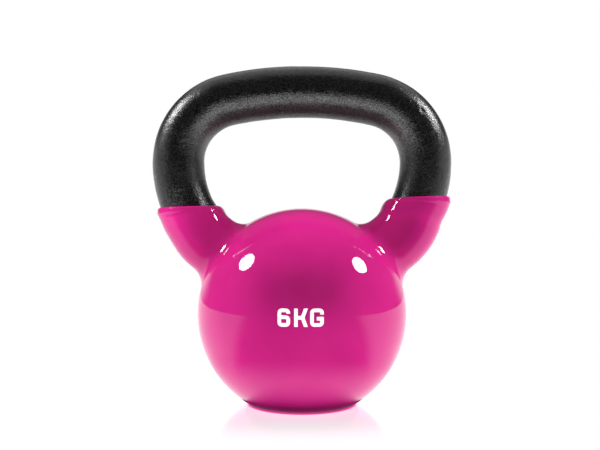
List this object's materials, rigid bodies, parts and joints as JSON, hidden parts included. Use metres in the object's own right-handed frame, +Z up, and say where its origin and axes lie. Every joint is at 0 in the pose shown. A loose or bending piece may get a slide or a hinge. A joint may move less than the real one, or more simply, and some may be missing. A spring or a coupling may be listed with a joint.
{
  "type": "kettlebell",
  "caption": "Small ball-shaped hand weight with a closed round-bar handle, cast in one piece and dipped in glossy vinyl up to the horns of the handle, with a flat foot to stand on.",
  "frame": {"origin": "middle of the flat foot that the kettlebell stands on", "axes": "+Z up, X along the grip of the handle, Y from front to back with the marked side facing -Y"},
  "size_m": [0.16, 0.1114, 0.1805],
  "materials": {
    "black_enamelled_iron": "satin",
    "pink_vinyl": "gloss"
  },
  "bodies": {
    "root": {"iron_casting": "black_enamelled_iron", "vinyl_jacket": "pink_vinyl"}
  },
  "joints": []
}
